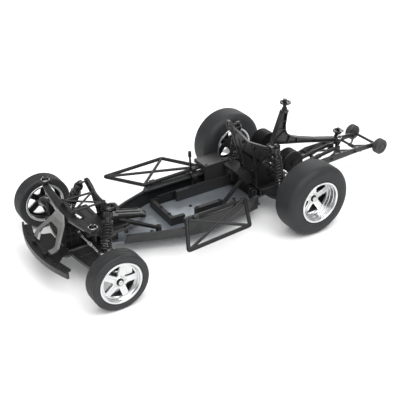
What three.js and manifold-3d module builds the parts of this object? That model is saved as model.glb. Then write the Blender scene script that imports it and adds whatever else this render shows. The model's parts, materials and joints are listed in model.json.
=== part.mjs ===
// Rolling chassis of a 1/10 two-wheel-drive drag car, body shell off.
// Millimetres, +Z up, +X towards the nose, +Y to the car's left.
// The origin is the bottom centre of the whole car's box. Everything below is drawn in the
// "axle frame", whose X starts at the front axle; the frame group moves it to the origin.
import * as THREE from 'three';
import { mergeVertices } from 'three/addons/utils/BufferGeometryUtils.js';
import Module from 'manifold-3d';

const wasm = await Module();
wasm.setup();

// ---------------------------------------------------------------- driving dimensions
const GAP = 0.3;                       // clearance between touching pieces
const FRONT_AXLE_X = 252.7;            // front axle ahead of the origin
const WHEELBASE = 340;
const REAR_X = -WHEELBASE;
const OVERALL_HALF_WIDTH = 137.2;      // to the outer tyre walls

const FRONT_WHEEL = { radius: 42.24, width: 25, rim: 31.4, disc: 3.5, axle: 2.4, phase: 73 };
const REAR_WHEEL = { radius: 57.2, width: 46, rim: 33.8, disc: 2.0, axle: 2.4, phase: 90 };
const FRONT_WHEEL_Y = OVERALL_HALF_WIDTH - FRONT_WHEEL.width / 2;
const REAR_WHEEL_Y = OVERALL_HALF_WIDTH - REAR_WHEEL.width / 2;
const WHEEL_SIDES = 32;
const RIM_SIDES = 24;
const BARREL_WALL = 3.8;
const SPOKES = 5;

const FLOOR = { bottom: 21, top: 24 }; // chassis plate
const ON_FLOOR = FLOOR.top + GAP;

const FRONT_ARM = { pinY: 17, outerY: 85, pinZ: 33 };
const REAR_ARM = { pinY: 24, outerY: 86, pinZ: 33 };
const PIN_BARREL = 3.6;                // radius of every hinge barrel on the arms
const KINGPIN_Y = 97;
const STEER_ARM = 16;                  // crank and knuckle arm length
const CRANK = { x: -18, y: 19 };
const RACK_X = CRANK.x - STEER_ARM;
const LINK_RADIUS = 1.6;
const BODY_WASHER = 9;                 // radius of the washers that a body shell rests on
const BALL_RADIUS = 3.4;

const FRONT_SHOCK = {
  top: [-31, 45, 100.6], bottom: [-12, 66, 41], body: 40, bore: 25, shaft: 37, cup: 53,
};
const REAR_SHOCK = {
  top: [REAR_X + 23, 50, 122], bottom: [REAR_X + 20, 66, 41],
  body: 52, bore: 35, shaft: 49, cup: 69,
};
const SHOCK = { body: 5.6, cap: 7.2, collar: 8.2, springInner: 6.4, springOuter: 8, rod: 1.5 };

const TOWER_X = -42.2;                 // front tower's middle plane
const REAR_TOWER_X = REAR_X + 36.5;    // rear tower's middle plane
const WHEELIE = { x: REAR_X - 220, z: 50.8, radius: 13.4, width: 11, y: 34.4 };

// ---------------------------------------------------------------- materials
function finish(color, roughness, metalness = 0) {
  return new THREE.MeshStandardMaterial({ color, roughness, metalness });
}
const plastic = () => finish(0x1b1b1c, 0.55);
const alloyPlate = () => finish(0x5f6a74, 0.4, 0.8);
const greyBrace = () => finish(0x85878a, 0.45, 0.6);
const rubber = () => finish(0x26272a, 0.8);
const chrome = () => finish(0xdadcde, 0.2, 0.9);
const steel = () => finish(0x9c9fa3, 0.3, 0.95);
const springSteel = () => finish(0x1d1d1f, 0.35, 0.6);

// ---------------------------------------------------------------- solids
function signedVolume(geometry) {
  const p = geometry.attributes.position;
  const a = new THREE.Vector3();
  const b = new THREE.Vector3();
  const c = new THREE.Vector3();
  let total = 0;
  for (let i = 0; i < geometry.index.count; i += 3) {
    a.fromBufferAttribute(p, geometry.index.getX(i));
    b.fromBufferAttribute(p, geometry.index.getX(i + 1));
    c.fromBufferAttribute(p, geometry.index.getX(i + 2));
    total += a.dot(b.cross(c)) / 6;
  }
  return total;
}

function flipped(indices) {
  const out = new Uint32Array(indices);
  for (let i = 0; i < out.length; i += 3) {
    [out[i + 1], out[i + 2]] = [out[i + 2], out[i + 1]];
  }
  return out;
}

function solidOf(geometry) {
  const bare = geometry.index ? geometry.toNonIndexed() : geometry.clone();
  bare.deleteAttribute('normal');
  bare.deleteAttribute('uv');
  const merged = mergeVertices(bare, 1e-4);
  const kept = [];
  for (let i = 0; i < merged.index.count; i += 3) {
    const [a, b, c] = [0, 1, 2].map((k) => merged.index.getX(i + k));
    if (a !== b && b !== c && c !== a) kept.push(a, b, c);
  }
  const inward = signedVolume(merged) < 0;
  return new wasm.Manifold(new wasm.Mesh({
    numProp: 3,
    vertProperties: new Float32Array(merged.attributes.position.array),
    triVerts: inward ? flipped(kept) : new Uint32Array(kept),
  }));
}

function geometryOf(solid) {
  const { vertProperties, triVerts } = solid.getMesh();
  const geometry = new THREE.BufferGeometry();
  geometry.setAttribute('position', new THREE.BufferAttribute(new Float32Array(vertProperties), 3));
  geometry.setIndex(new THREE.BufferAttribute(new Uint32Array(triVerts), 1));
  return geometry;
}

const join = (...solids) => solids.reduce((whole, piece) => whole.add(piece));
const cut = (solid, ...tools) => tools.reduce((rest, tool) => rest.subtract(tool), solid);

function moved(solid, matrix) {
  return solidOf(geometryOf(solid).applyMatrix4(matrix));
}

function mirrored(solid) {
  return moved(solid, new THREE.Matrix4().makeScale(1, -1, 1));
}

function box(x0, x1, y0, y1, z0, z1) {
  const geometry = new THREE.BoxGeometry(x1 - x0, y1 - y0, z1 - z0);
  return solidOf(geometry.translate((x0 + x1) / 2, (y0 + y1) / 2, (z0 + z1) / 2));
}

function rod(from, to, radius, sides = 6, endRadius = radius) {
  const a = new THREE.Vector3(...from);
  const b = new THREE.Vector3(...to);
  const along = b.clone().sub(a);
  const geometry = new THREE.CylinderGeometry(endRadius, radius, along.length(), sides);
  geometry.translate(0, along.length() / 2, 0);
  const turn = new THREE.Quaternion().setFromUnitVectors(new THREE.Vector3(0, 1, 0), along.normalize());
  geometry.applyQuaternion(turn);
  return solidOf(geometry.translate(a.x, a.y, a.z));
}

function ball(centre, radius) {
  return solidOf(new THREE.SphereGeometry(radius, 8, 5).translate(...centre));
}

function shapeOf(points) {
  return new THREE.Shape(points.map(([u, v]) => new THREE.Vector2(u, v)));
}

function extruded(points, from, to) {
  const depth = to - from;
  const geometry = new THREE.ExtrudeGeometry(shapeOf(points), { depth, bevelEnabled: false });
  return geometry.translate(0, 0, from);
}

// outline in (x, y), from z0 to z1
function slabZ(points, z0, z1) {
  return solidOf(extruded(points, z0, z1));
}

// outline in (x, z), from y0 to y1
function slabY(points, y0, y1) {
  return solidOf(extruded(points, -y1, -y0).rotateX(Math.PI / 2));
}

// outline in (y, z), from x0 to x1
function slabX(points, x0, x1) {
  const turn = new THREE.Matrix4().set(0, 0, 1, 0, 1, 0, 0, 0, 0, 1, 0, 0, 0, 0, 0, 1);
  return solidOf(extruded(points, x0, x1).applyMatrix4(turn));
}

// half outline from the centre line and back, completed on the other side (v -> -v)
function symmetricV(points) {
  return [...points, ...points.filter(([, v]) => v > 0).reverse().map(([u, v]) => [u, -v])];
}

// the same for outlines that are symmetric in their first coordinate
function symmetricU(points) {
  return [...points, ...points.filter(([u]) => u > 0).reverse().map(([u, v]) => [-u, v])];
}

// turned about an axis along Y; the profile is a closed ring or ends on the axis
function turnedY(profile, centre, sides = WHEEL_SIDES) {
  const points = profile.map(([r, y]) => new THREE.Vector2(r, y));
  if (profile[0][0] > 0) points.push(points[0].clone());
  return solidOf(new THREE.LatheGeometry(points, sides).translate(...centre));
}

// triangles over a ring's outline that run round the same way as the ring
function capFaces(ring, flat) {
  const outline = ring.map((p) => new THREE.Vector2(p[flat[0]], p[flat[1]]));
  const forward = THREE.ShapeUtils.area(outline) > 0;
  return THREE.ShapeUtils.triangulateShape(outline, []).map((face) => {
    const same = (THREE.ShapeUtils.area(face.map((k) => outline[k])) > 0) === forward;
    return same ? face : [face[0], face[2], face[1]];
  });
}

// skin over rings of equal count, capped at both ends; `flat` names the caps' two axes
function loft(rings, flat) {
  const count = rings[0].length;
  const indices = [];
  for (let i = 0; i + 1 < rings.length; i += 1) {
    for (let k = 0; k < count; k += 1) {
      const a = i * count + k;
      const b = i * count + ((k + 1) % count);
      indices.push(a, b, b + count, a, b + count, a + count);
    }
  }
  for (const [a, b, c] of capFaces(rings[0], flat)) indices.push(a, c, b);
  const last = (rings.length - 1) * count;
  for (const face of capFaces(rings.at(-1), flat)) indices.push(...face.map((k) => k + last));
  const geometry = new THREE.BufferGeometry();
  geometry.setAttribute('position', new THREE.Float32BufferAttribute(rings.flat(2), 3));
  geometry.setIndex(indices);
  return solidOf(geometry);
}

// a square-section box lofted along Y: stations are [y, x0, x1, z0, z1]
function beamY(stations) {
  return loft(stations.map(([y, x0, x1, z0, z1]) => [[x0, y, z0], [x1, y, z0], [x1, y, z1], [x0, y, z1]]),
    [0, 2]);
}

// the same along X: stations are [x, y0, y1, z0, z1]
function beamX(stations) {
  return loft(stations.map(([x, y0, y1, z0, z1]) => [[x, y0, z0], [x, y1, z0], [x, y1, z1], [x, y0, z1]]),
    [1, 2]);
}

// ---------------------------------------------------------------- assembly
const car = new THREE.Group();
const axleFrame = new THREE.Group();
axleFrame.position.x = FRONT_AXLE_X;
car.add(axleFrame);

function add(name, solid, material) {
  const mesh = new THREE.Mesh(geometryOf(solid), material);
  mesh.name = name;
  axleFrame.add(mesh);
}

function addPair(name, leftSolid, material) {
  add(`${name}_left`, leftSolid, material());
  add(`${name}_right`, mirrored(leftSolid), material());
}

// ---------------------------------------------------------------- chassis
function chassisPlate() {
  const half = [
    [26, 12], [-40, 12], [-63, 23], [-83, 30.5], [-107, 39.5], [-146, 53], [-202, 56], [-262, 51],
    [-287, 46.5], [-291, 26], [-372, 20],
  ];
  return slabZ([...half, ...half.map(([x, y]) => [x, -y]).reverse()], FLOOR.bottom, FLOOR.top);
}

// stations: x, foot y, outer top y, top z, inner top y; the middle stretch widens into a shelf
const GUARD_STATIONS = [
  [-63, 27, 36, 40, 31], [-83, 34.5, 43.5, 41, 38.5], [-107, 43.5, 54, 41, 49],
  [-146, 57.5, 67, 41.5, 61], [-149, 58.5, 66, 50, 50], [-173, 63, 66, 50, 50],
  [-202, 63.5, 66, 50, 50], [-262, 55, 64, 50, 50], [-264, 54.6, 59, 45, 53.5],
  [-287, 50.5, 52, 45, 46.5],
];
const SHELF_Z = 50;
const GUARD_WALL = 3;

function sideGuard() {
  const rings = GUARD_STATIONS.map(([x, foot, outer, top, inner]) => [
    [x, foot, FLOOR.bottom + 0.5], [x, outer, top], [x, inner, top],
    [x, inner, top - GUARD_WALL], [x, outer - GUARD_WALL, top - GUARD_WALL],
    [x, foot - GUARD_WALL, FLOOR.bottom + 0.5],
  ]);
  return loft(rings, [1, 2]);
}

// side intrusion frame: a parallelogram of tube with crossed diagonals
const SIDE_FRAME = {
  frontIn: [-147, 63, 53], frontOut: [-110, 127.5, 49.5],
  rearOut: [-216, 125.5, 54], rearIn: [-253, 62, 56], tube: 3, brace: 2.4,
};

function sideFrame() {
  const corners = [SIDE_FRAME.frontIn, SIDE_FRAME.frontOut, SIDE_FRAME.rearOut, SIDE_FRAME.rearIn];
  const sides = corners.map((corner, i) => rod(corner, corners[(i + 1) % 4], SIDE_FRAME.tube));
  const diagonals = [[0, 2], [1, 3]].map(([i, k]) => rod(corners[i], corners[k], SIDE_FRAME.brace));
  return join(...corners.map((corner) => ball(corner, SIDE_FRAME.tube + 0.2)), ...sides, ...diagonals);
}

function arcPoints(radius, centreX, halfWidth, steps) {
  const sweep = Math.asin(halfWidth / radius);
  return Array.from({ length: steps + 1 }, (_, i) => {
    const angle = -sweep + (2 * sweep * i) / steps;
    return [centreX + radius * Math.cos(angle), radius * Math.sin(angle)];
  });
}

function frontBumper() {
  const radius = 205.5;
  const centreX = 68 - radius;
  const behind = arcPoints(radius - 3, centreX, 78.6, 14).reverse();
  const blade = [...arcPoints(radius, centreX, 79.5, 14), ...behind];
  const wing = [[42, 69], [48, 44], [38, 34], [27.3, 30]];
  const otherWing = wing.map(([x, y]) => [x, -y]).reverse();
  const plate = [...arcPoints(radius - 1.5, centreX, 74, 14), ...wing, ...otherWing];
  const pads = [18.7, -18.7].map((y) => rod([57, y, 39], [57, y, 47.5], 3.6));
  return join(slabZ(blade, 35, 43.5), slabZ(plate, 39, 42), ...pads, rod([57, -18, 47], [57, 18, 47], 1));
}

// sloping grey plate from the bumper up to the body crossbar
function frontBrace() {
  const side = [
    [20.5, 89.8], [24, 79], [42, 54.5], [50.5, 45.6], [53, 47.4], [44.6, 56.2], [26.6, 80.6], [23.4, 90.6],
  ];
  const front = symmetricU([
    [0, 92], [9, 92], [18, 79.5], [34, 55], [33, 50], [23, 43], [16.5, 46], [24.5, 53], [25, 57],
    [12, 73], [0, 73],
  ]);
  return slabY(side, -36, 36).intersect(slabX(front, 15, 60));
}

function frontBodyCrossbar() {
  const halves = [
    [82, 4, 14, 94, 99], [66, 7.5, 17, 92.5, 98.5], [20, 7.5, 19.6, 85.2, 91], [0, 7.5, 19.6, 84.2, 90],
  ];
  const bar = beamY([...halves, ...halves.slice(0, 3).reverse().map(([y, ...rest]) => [-y, ...rest])]);
  const posts = [1, -1].map((side) => join(
    rod([9.2, 78.4 * side, 92], [9.2, 78.4 * side, 106.5], 3),
    rod([9.2, 78.4 * side, 100], [9.2, 78.4 * side, 102.6], BODY_WASHER, 16),
  ));
  const tube = 1.6;
  const rails = [17, -17].flatMap((y) => [
    rod([9, y, 96.5], [-38, y, 96.5], tube, 6),
    box(7.7, 12, y - 2.5, y + 2.5, 88, 98),
    box(-41.5, -34, y - 2.5, y + 2.5, 93.3, 98),
  ]);
  const webs = [
    rod([8, 17, 96.5], [-36, -17, 96.5], tube, 6), rod([8, -17, 96.5], [-36, 17, 96.5], tube, 6),
    rod([-38, 17, 96.5], [-38, -17, 96.5], tube, 6), rod([9.5, 17, 96.5], [9.5, -17, 96.5], tube, 6),
  ];
  return join(bar, ...posts, ...rails, ...webs);
}

function frontBulkhead() {
  const base = box(-60, 26, -11.5, 11.5, ON_FLOOR, 38);
  const lugs = [[-30, -26.5], [22.5, 26]].map(([x0, x1]) => box(x0, x1, -21, 21, 28, 38));
  const tower = beamX([
    [-9.5, -11, 11, 38, 66], [0, -12, 12, 38, 72], [23, -10, 10, 38, 72], [26, -9, 9, 38, 62],
  ]);
  const column = box(4, 22, -9, 9, 70, 83.9);
  const crankRoof = box(-23, -5, -24, 24, 51.5, 55);
  const studs = [1, -1].map((side) => rod([6, 8 * side, 62], [6, 18.2 * side, 62], 1.5));
  const noseDeck = [[-47, 37], [-47, 66], [-60, 63], [-108, 50], [-108, 46], [-66, 54], [-60, 37]];
  const rear = slabY(noseDeck, -11, 11);
  const cover = box(-39.5, -19, -48, 48, 57, 60.5);
  const coverNeck = box(-24, -8, -11, 11, 54.5, 60.5);
  const shelf = box(-74, -46, -30, 30, 47, 50);
  const shelfFeet = [1, -1].map((side) => rod([-66, 27 * side, 41.6], [-66, 27 * side, 48], 3.2, 8));
  const struts = [1, -1].flatMap((side) => [
    rod([-64, 8 * side, 54], [-122, 24 * side, 28.5], 4, 8, 3),
    rod([-122, 24 * side, ON_FLOOR], [-122, 24 * side, 32], 4.6, 10),
  ]);
  return join(base, ...lugs, tower, column, crankRoof, cover, coverNeck, shelf, ...shelfFeet, ...studs,
    rear, ...struts);
}

function frontShockTower() {
  const outline = symmetricU([
    [0, 88.5], [20, 93], [28, 99.5], [40, 105], [49, 104], [50, 98], [42, 93], [28, 84], [15, 66], [11, 50],
    [11, 38.3], [0, 38.3],
  ]);
  const studs = [1, -1].map((side) => (
    rod([TOWER_X, 45 * side, 100.6], [TOWER_X + 7.5, 45 * side, 100.6], 1.5)));
  return join(slabX(outline, TOWER_X - 2.2, TOWER_X + 2.2), ...studs);
}

// ---------------------------------------------------------------- battery bay and electronics
const BAY = { wallY: -33, blockY: 18, front: -145 };

function electronicsTray() {
  const stop = [
    [BAY.front, -42.5], [BAY.front + 2, 25], [-167, 27], [-167, 21.5], [-149.5, 20], [-150, -37],
    [-158, -37], [-158, -42.5],
  ];
  const wall = slabZ([[-189, -38], [-189, BAY.wallY], [-294, BAY.wallY], [-294, -38]], ON_FLOOR, 42);
  const ledge = slabZ([[-157, -42.5], [-157, -41], [-250, -41], [-250, -42.5]], ON_FLOOR, 40);
  const ribs = [-196, -238, -290].map((x) => box(x - 2, x, -42.5, -37, ON_FLOOR, 38));
  const lid = cut(box(-290, -249, -76, -42.6, 50.6, 65), box(-257.5, -248, -77, -57, 50, 59.4));
  const face = box(-290, -249, -45.8, -42.6, ON_FLOOR, 52);
  const hollow = box(-300, -259.5, -74, -44.6, 52.6, 63);
  const bridge = box(-252, -249.5, -45.8, -41.5, ON_FLOOR, 40);
  const mast = join(
    box(-234, -226, -58.6, -42, SHELF_Z + 0.4, 53), box(-234, -226, -46.5, -42, 37, 53),
    rod([-230, -56, 52], [-228, -56, 88], 1.7, 8), rod([-228, -56, 84], [-228, -56, 93], 2.7, 8),
  );
  const compartment = cut(join(lid, face), hollow);
  return join(slabZ(stop, ON_FLOOR, 38), wall, ledge, ...ribs, compartment, bridge, mast);
}

function rearDeck() {
  const wall = box(-300.4, -296.6, -42, 5, ON_FLOOR, 60);
  const lowWall = box(-300.4, -296.6, 0, 30, ON_FLOOR, 41);
  const deck = box(-308.5, -283, -42, 5, 58.8, 62);
  const cheek = box(-308.5, -283, 1.5, 5, 40, 62);
  const posts = [20, 27].map((y) => rod([-294, y, ON_FLOOR], [-294, y, 41], 2.8, 8));
  const block = box(-238, -189, BAY.blockY, 25, ON_FLOOR, 40);
  const foot = box(-246, -236, 14.5, 22, ON_FLOOR, 30);
  const strut = rod([-242, 17, 27], [-287, 4, 50], 3.6);
  return join(wall, lowWall, deck, cheek, ...posts, block, foot, strut);
}

// ---------------------------------------------------------------- rear drive
function gearbox() {
  const body = slabY([
    [-368, 26], [-368, 58], [-362, 74], [-344, 78], [-318, 78], [-309, 72], [-309, 30], [-318, 26],
  ], -16, 16);
  const base = box(-372, -301.5, -20, 20, ON_FLOOR, 29.5);
  const lugs = [[-311.5, -308], [-368, -364.5]].map(([x0, x1]) => box(x0, x1, -28.5, 28.5, 28, 38));
  const motor = turnedY([[0, 15], [18, 15], [19, 17], [19, 36], [17, 38], [0, 38]], [-366, 0, 74], 24);
  const pedestal = slabY([[-362, 74], [-362, 94.4], [-349.5, 96.8], [-343, 95], [-343, 74]], -7, 7);
  const studs = [1, -1].map((side) => (
    rod([REAR_X + 10, 14 * side, 76], [REAR_X + 10, 20.2 * side, 76], 1.5)));
  const outdrives = [1, -1].map((side) => rod([REAR_X, 14 * side, REAR_WHEEL.radius],
    [REAR_X, 21 * side, REAR_WHEEL.radius], 5, 10));
  return join(body, base, ...lugs, motor, pedestal, ...studs, ...outdrives);
}

function gearCover() {
  const shell = turnedY([[0, -44], [18, -44], [20, -42], [20, -16.6], [0, -16.6]], [-358, 0, 87], 28);
  const pinionBulge = turnedY([[0, -40], [9, -40], [10, -38.5], [10, -16.6], [0, -16.6]], [-346, 0, 78], 16);
  return cut(join(shell, pinionBulge), box(-366, -336, -18, -16.7, 72, 99));
}

function rearShockTower() {
  const outline = symmetricU([
    [0, 113.5], [44, 123], [52, 128.5], [60, 128], [62.5, 120], [58, 114], [47, 110], [30, 86], [23, 74],
    [20, 62.5], [0, 62.5],
  ]);
  const studs = [1, -1].map((side) => (
    rod([REAR_TOWER_X, 50 * side, 122], [REAR_TOWER_X - 9.5, 50 * side, 122], 1.5)));
  return join(slabX(outline, REAR_TOWER_X - 1.9, REAR_TOWER_X + 1.9), ...studs);
}

function rearBodyMount() {
  const profile = [
    [-349, 97.5], [-350.5, 107], [-366.4, 151], [-375.4, 151], [-372.6, 126], [-373.2, 118],
    [-376.5, 111.5], [-383, 105.6], [-392, 100.8], [-405, 95.6], [-440, 84.8], [-486, 73.6],
    [-486, 67.2], [-440, 77.6], [-409, 85], [-380, 91], [-363, 94.8],
  ];
  const post = rod([-371.5, 0, 149], [-373.5, 0, 171], 3);
  const washer = rod([-372.9, 0, 163], [-373.2, 0, 165.6], BODY_WASHER, 16);
  const endPost = rod([-491.5, 0, 49.4], [-491.5, 0, 90], 2.6);
  const endBoss = rod([-491.5, 0, 60], [-491.5, 0, 76], 6, 10);
  const endWasher = rod([-491.5, 0, 83], [-491.5, 0, 85.6], BODY_WASHER, 16);
  return join(slabY(profile, -5, 5), post, washer, endPost, endBoss, endWasher);
}

function wheelieBar() {
  const tube = 2.2;
  const rails = [1, -1].map((side) => beamX([
    [-558, 22.8 * side, 27 * side, 46, 55], [-430, 22.8 * side, 27 * side, 44, 54],
    [-390, 18 * side, 22 * side, 40, 46],
  ]));
  const frontBar = rod([-393, -21, 43], [-393, 21, 43], 3.6);
  const hinge = box(-394, -372.4, -7, 7, 38, 46);
  const bars = [-440, -491.5, -526].map((x) => rod([x, -25, 47], [x, 25, 47], tube));
  const braces = [1, -1].flatMap((side) => [
    rod([-528, 3 * side, 47], [-555, 24 * side, 49], tube - 0.4, 6),
    rod([-493, 3 * side, 47], [-524, 24 * side, 47.5], tube - 0.4, 6),
    rod([-489, 4 * side, 47], [-442, 24 * side, 47], tube - 0.4, 6),
    rod([-394, 5 * side, 43], [-436, 24 * side, 48], tube, 6),
  ]);
  const struts = [8, -8].flatMap((y) => [
    rod([-396, y, 45], [-482, y, 57], 3.4, 10), box(-492, -479, y - 1.5, y + 1.5, 46, 59),
  ]);
  const axle = rod([WHEELIE.x, -40, WHEELIE.z], [WHEELIE.x, 40, WHEELIE.z], 2, 10);
  const ends = [1, -1].map((side) => (
    rod([WHEELIE.x, 22.8 * side, WHEELIE.z], [WHEELIE.x, 27 * side, WHEELIE.z], 4.6, 12)));
  return join(...rails, frontBar, hinge, ...bars, ...braces, ...struts, axle, ...ends);
}

// ---------------------------------------------------------------- wheels
// a tyre with its foam insert, as one solid ring round the rim
function tyre(wheel, y, shoulder) {
  const half = wheel.width / 2;
  const side = [
    [wheel.rim + GAP, half - 1], [wheel.rim + 3, half], [wheel.radius - shoulder, half - shoulder * 0.15],
    [wheel.radius - shoulder * 0.3, half - shoulder * 0.7], [wheel.radius, half - shoulder * 1.8],
  ];
  const profile = [...side, ...side.map(([r, h]) => [r, -h]).reverse()];
  return turnedY(profile, [wheel === REAR_WHEEL ? REAR_X : 0, y, wheel.radius]);
}

// the profile's second value is the distance outboard of the wheel's middle plane
function rimProfile(wheel, bore) {
  const lip = wheel.width / 2 - GAP;
  const inner = wheel.rim - BARREL_WALL;
  const face = wheel.disc + 3;
  const hub = 8;
  const barrel = [
    [hub, face], [inner, face], [inner, lip], [wheel.rim, lip], [wheel.rim, -lip], [inner, -lip],
    [inner, wheel.disc], [hub, wheel.disc],
  ];
  return bore > 0
    ? [[bore, -4], [bore, face + 2], [hub, face + 2], ...barrel, [hub, -4]]
    : [[0, face + 2], [hub, face + 2], ...barrel, [hub, -4], [0, -4]];
}

// five wedge openings leave a five-spoke star in the wheel's disc
function spokeWindows(wheel, x, y) {
  const reach = wheel.rim - BARREL_WALL - 2.4;
  const halfWide = reach * Math.sin(THREE.MathUtils.degToRad(25));
  const base = reach * 0.92;
  const wedge = extruded([[10.5, 0], [base, -halfWide], [reach, 0], [base, halfWide]], -1, 8);
  return Array.from({ length: SPOKES }, (_, i) => {
    const angle = THREE.MathUtils.degToRad(wheel.phase + (360 * i) / SPOKES);
    const turn = new THREE.Matrix4().makeRotationY(angle);
    const lie = new THREE.Matrix4().makeRotationX(-Math.PI / 2);
    const place = new THREE.Matrix4().makeTranslation(x, y + wheel.disc - 2, wheel.radius);
    return solidOf(wedge.clone().applyMatrix4(place.multiply(turn).multiply(lie)));
  });
}

function rim(wheel, x, y, bore) {
  const blank = turnedY(rimProfile(wheel, bore), [x, y, wheel.radius], RIM_SIDES);
  return cut(blank, ...spokeWindows(wheel, x, y));
}

function rearRim() {
  const z = REAR_WHEEL.radius;
  const axle = rod([REAR_X, 81.2, z], [REAR_X, REAR_WHEEL_Y, z], REAR_WHEEL.axle, 12);
  return join(rim(REAR_WHEEL, REAR_X, REAR_WHEEL_Y, 0), axle);
}

function wheelieWheel() {
  const half = WHEELIE.width / 2;
  const profile = [
    [2.5, half], [8.6, half - 0.6], [9, half], [12, half], [WHEELIE.radius, half - 1.4],
    [WHEELIE.radius, 1.4 - half], [12, -half], [9, -half], [8.6, 0.6 - half], [2.5, -half],
  ];
  return turnedY(profile, [WHEELIE.x, WHEELIE.y, WHEELIE.z], 16);
}

// ---------------------------------------------------------------- suspension
// A lower arm from x0 to x1 at its hinge pin, forked around the carrier, which is at `middle`.
function lowerArm(arm, x0, x1, middle, shockFoot) {
  const tip = 13;
  const fork = 8.3;
  const outline = [
    [x1, arm.pinY], [x1 - 2, arm.pinY + 22], [middle + tip, arm.outerY - 6], [middle + tip, arm.outerY],
    [middle + fork, arm.outerY], [middle + fork, arm.outerY - 6], [middle - fork, arm.outerY - 6],
    [middle - fork, arm.outerY], [middle - tip, arm.outerY], [middle - tip, arm.outerY - 6],
    [x0 + 2, arm.pinY + 22], [x0, arm.pinY],
  ];
  const plate = slabZ(outline, arm.pinZ - 2.5, arm.pinZ + 2.5);
  const barrel = rod([x0, arm.pinY, arm.pinZ], [x1, arm.pinY, arm.pinZ], PIN_BARREL, 12);
  const prongs = [[fork, tip], [-tip, -fork]].map(([a, b]) => rod([middle + a, arm.outerY, arm.pinZ],
    [middle + b, arm.outerY, arm.pinZ], PIN_BARREL, 12));
  const [x, y, z] = shockFoot;
  const shockPost = rod([x, y, arm.pinZ], [x, y, z - 4.2], 3);
  return join(plate, barrel, ...prongs, shockPost);
}

// C-shaped hub carrier on the front arm's outer pin; it holds the knuckle's kingpin
function frontCarrier() {
  const spine = slabY([[-6, 31], [6, 31], [6, 58], [-6, 58]], 84, 90);
  const barrel = rod([-7.8, 85, 33], [7.8, 85, 33], PIN_BARREL, 12);
  const jaws = [[30, 34], [52, 56]].map(([z0, z1]) => join(
    box(-6, 6, 86, KINGPIN_Y, z0, z1), rod([0, KINGPIN_Y, z0], [0, KINGPIN_Y, z1], 6, 12),
  ));
  return join(spine, barrel, ...jaws);
}

function frontKnuckle() {
  const kingpin = rod([0, KINGPIN_Y, 34.4], [0, KINGPIN_Y, 51.6], 5.6, 12);
  const z = FRONT_WHEEL.radius;
  const spindle = rod([0, KINGPIN_Y, z], [0, 131.5, z], FRONT_WHEEL.axle, 12);
  const shoulder = rod([0, 100, z], [0, 119.8, z], 4.6, 12);
  const steerArm = slabZ([[0, KINGPIN_Y - 3.4], [0, KINGPIN_Y + 3.4], [-17, KINGPIN_Y + 3], [-19, KINGPIN_Y],
    [-17, KINGPIN_Y - 3]], 37, 41);
  return join(kingpin, spindle, shoulder, steerArm);
}

function rearHub() {
  const upright = slabX([
    [82, 30], [90, 30], [90, 46], [90.8, 50], [90.8, 66], [90, 68], [90, 72], [84, 72], [82, 66],
  ], REAR_X - 7, REAR_X + 7);
  const barrel = rod([REAR_X - 7.8, 86, 33], [REAR_X + 7.8, 86, 33], PIN_BARREL, 12);
  const bore = rod([REAR_X, 70, REAR_WHEEL.radius], [REAR_X, 100, REAR_WHEEL.radius], 3, 12);
  const clearance = box(REAR_X - 8, REAR_X + 8, 78, 82.4, 26, 60);
  return cut(join(cut(upright, clearance), barrel), bore);
}

// a turnbuckle between two ball joints
function link(from, to) {
  return join(rod(from, to, LINK_RADIUS), ball(from, BALL_RADIUS), ball(to, BALL_RADIUS));
}

function tieRod() {
  const inner = [RACK_X, 26, 44];
  const outer = [-STEER_ARM, KINGPIN_Y, 45];
  return join(rod(inner, outer, LINK_RADIUS), ball(inner, 3), rod([outer[0], outer[1], 42.5],
    [outer[0], outer[1], 47.5], BALL_RADIUS, 10));
}

function steeringCrank() {
  const hub = rod([CRANK.x, CRANK.y, 38.6], [CRANK.x, CRANK.y, 51.1], 4, 12);
  const arm = box(RACK_X - 3, CRANK.x, CRANK.y - 3, CRANK.y + 3, 47.2, 50.8);
  return join(hub, arm);
}

function steeringRack() {
  return box(RACK_X - 2.5, RACK_X + 2.5, -22.5, 22.5, 42, 46.8);
}

// Shock pieces are drawn hanging down from the origin and swung onto the line top-bottom.
function hung(solid, shock) {
  const top = new THREE.Vector3(...shock.top);
  const along = new THREE.Vector3(...shock.bottom).sub(top).normalize();
  const turn = new THREE.Quaternion().setFromUnitVectors(new THREE.Vector3(0, 0, -1), along);
  return moved(solid, new THREE.Matrix4().compose(top, turn, new THREE.Vector3(1, 1, 1)));
}

function shockLength(shock) {
  return new THREE.Vector3(...shock.top).distanceTo(new THREE.Vector3(...shock.bottom));
}

function shockBody(shock) {
  const eye = cut(rod([-3, 0, 0], [3, 0, 0], 4, 12), rod([-4, 0, 0], [4, 0, 0], 1.9, 8));
  const cap = rod([0, 0, -3], [0, 0, -11], SHOCK.cap, 14);
  const barrel = rod([0, 0, -10], [0, 0, -shock.body], SHOCK.body, 14);
  const collar = rod([0, 0, -16], [0, 0, -19], SHOCK.collar, 14);
  const bore = rod([0, 0, -shock.bore], [0, 0, -shock.body - 1], SHOCK.rod + 0.5, 8);
  return hung(cut(join(eye, cap, barrel, collar), bore), shock);
}

function shockShaft(shock) {
  const foot = shockLength(shock);
  const shaft = rod([0, 0, -shock.shaft], [0, 0, -foot], SHOCK.rod, 8);
  const cup = rod([0, 0, -shock.cup], [0, 0, -shock.cup - 2.6], SHOCK.cap + 0.4, 14);
  const eye = rod([-3, 0, -foot], [3, 0, -foot], 3.3, 12);
  return hung(join(shaft, cup, eye), shock);
}

function spring(shock) {
  const from = -19 - GAP;
  const to = -shock.cup + GAP;
  const { springInner, springOuter } = SHOCK;
  const profile = [[springInner, from], [springInner, to], [springOuter, to], [springOuter, from]];
  const upright = moved(turnedY(profile, [0, 0, 0], 14), new THREE.Matrix4().makeRotationX(Math.PI / 2));
  return hung(upright, shock);
}

function driveshaft() {
  const from = [REAR_X, 24.5, REAR_WHEEL.radius];
  const to = [REAR_X, 77, REAR_WHEEL.radius];
  return join(rod(from, to, 2.6), ball(from, 3.2), ball(to, 3.4));
}

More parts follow.
